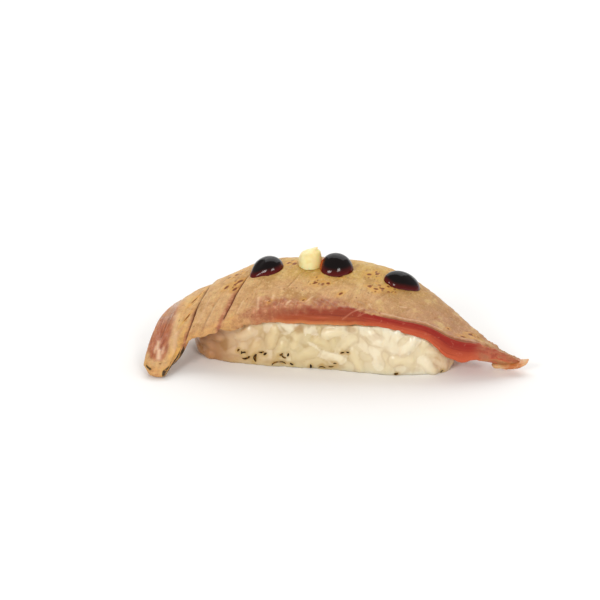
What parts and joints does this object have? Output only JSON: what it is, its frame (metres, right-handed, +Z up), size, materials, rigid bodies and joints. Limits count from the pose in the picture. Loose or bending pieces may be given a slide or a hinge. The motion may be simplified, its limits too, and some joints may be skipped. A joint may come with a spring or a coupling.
{
  "type": "nigiri sushi piece",
  "caption": "Pressed oblong of cooked rice grains under a draped, seared slice of fish with a curled tip, topped with dark sauce drops and a bead of cream.",
  "frame": {"origin": "middle of the rice block's flat underside, on the surface the piece rests on", "axes": "+X along the rice block towards the fish's pointed tip, -Y towards the side with the red cut face, +Z up"},
  "size_m": [0.0827, 0.0345, 0.0237],
  "materials": {
    "cooked_rice": "moist, slightly translucent cooked rice",
    "seared_fish": "moist seared flesh, raw and red on its cut front",
    "dark_sauce": "wet, glossy thick sauce",
    "cream": "soft, slightly glossy cream"
  },
  "bodies": {
    "root": {"rice": "cooked_rice", "fish_slice": "seared_fish", "sauce_drop_left": "dark_sauce", "sauce_drop_middle": "dark_sauce", "sauce_drop_right": "dark_sauce", "cream_bead": "cream"}
  },
  "joints": []
}
